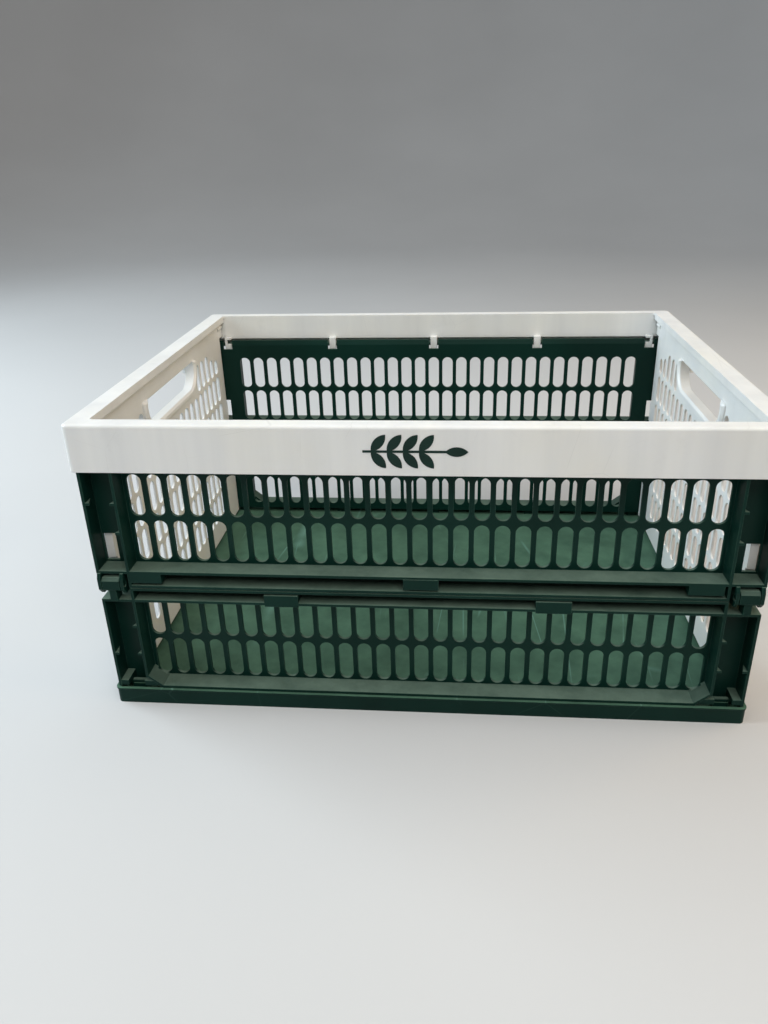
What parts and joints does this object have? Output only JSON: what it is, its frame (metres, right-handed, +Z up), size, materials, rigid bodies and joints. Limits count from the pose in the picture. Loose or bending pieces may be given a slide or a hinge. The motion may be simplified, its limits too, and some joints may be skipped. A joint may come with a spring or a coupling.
{
  "type": "collapsible storage crate",
  "caption": "Collapsible plastic storage crate with a carrying rim, slotted folding long walls, swing-in end panels with hand holes and a smooth base tray.",
  "frame": {"origin": "centre of the base's underside, on the surface that the crate stands on", "axes": "+Z up; +X along the crate's length, towards the right-hand end panel; -Y towards the front wall that carries the printed emblem"},
  "size_m": [0.48, 0.3503, 0.232],
  "materials": {
    "green_plastic": "dark bottle-green moulded polypropylene, satin, lightly scuffed",
    "white_plastic": "warm white moulded polypropylene, satin, with faint flow marks",
    "print_ink": "dark green pad-printed ink"
  },
  "bodies": {
    "crate": {"base_tray": "green_plastic", "front_wall_lower": "green_plastic", "front_wall_upper": "green_plastic", "rear_wall_lower": "green_plastic", "rear_wall_upper": "green_plastic", "rim_frame": "white_plastic", "rim_print": "print_ink"},
    "left_end": {"left_end_panel": "white_plastic"},
    "right_end": {"right_end_panel": "white_plastic"}
  },
  "joints": [
    {"name": "left_end_swing", "type": "hinge", "parent": "crate", "child": "left_end", "pos_m": [-0.229, 0, 0.2205], "axis": [0, -1, 0], "range_deg": [0, 90]},
    {"name": "right_end_swing", "type": "hinge", "parent": "crate", "child": "right_end", "pos_m": [0.229, 0, 0.2205], "axis": [0, 1, 0], "range_deg": [0, 90]}
  ]
}
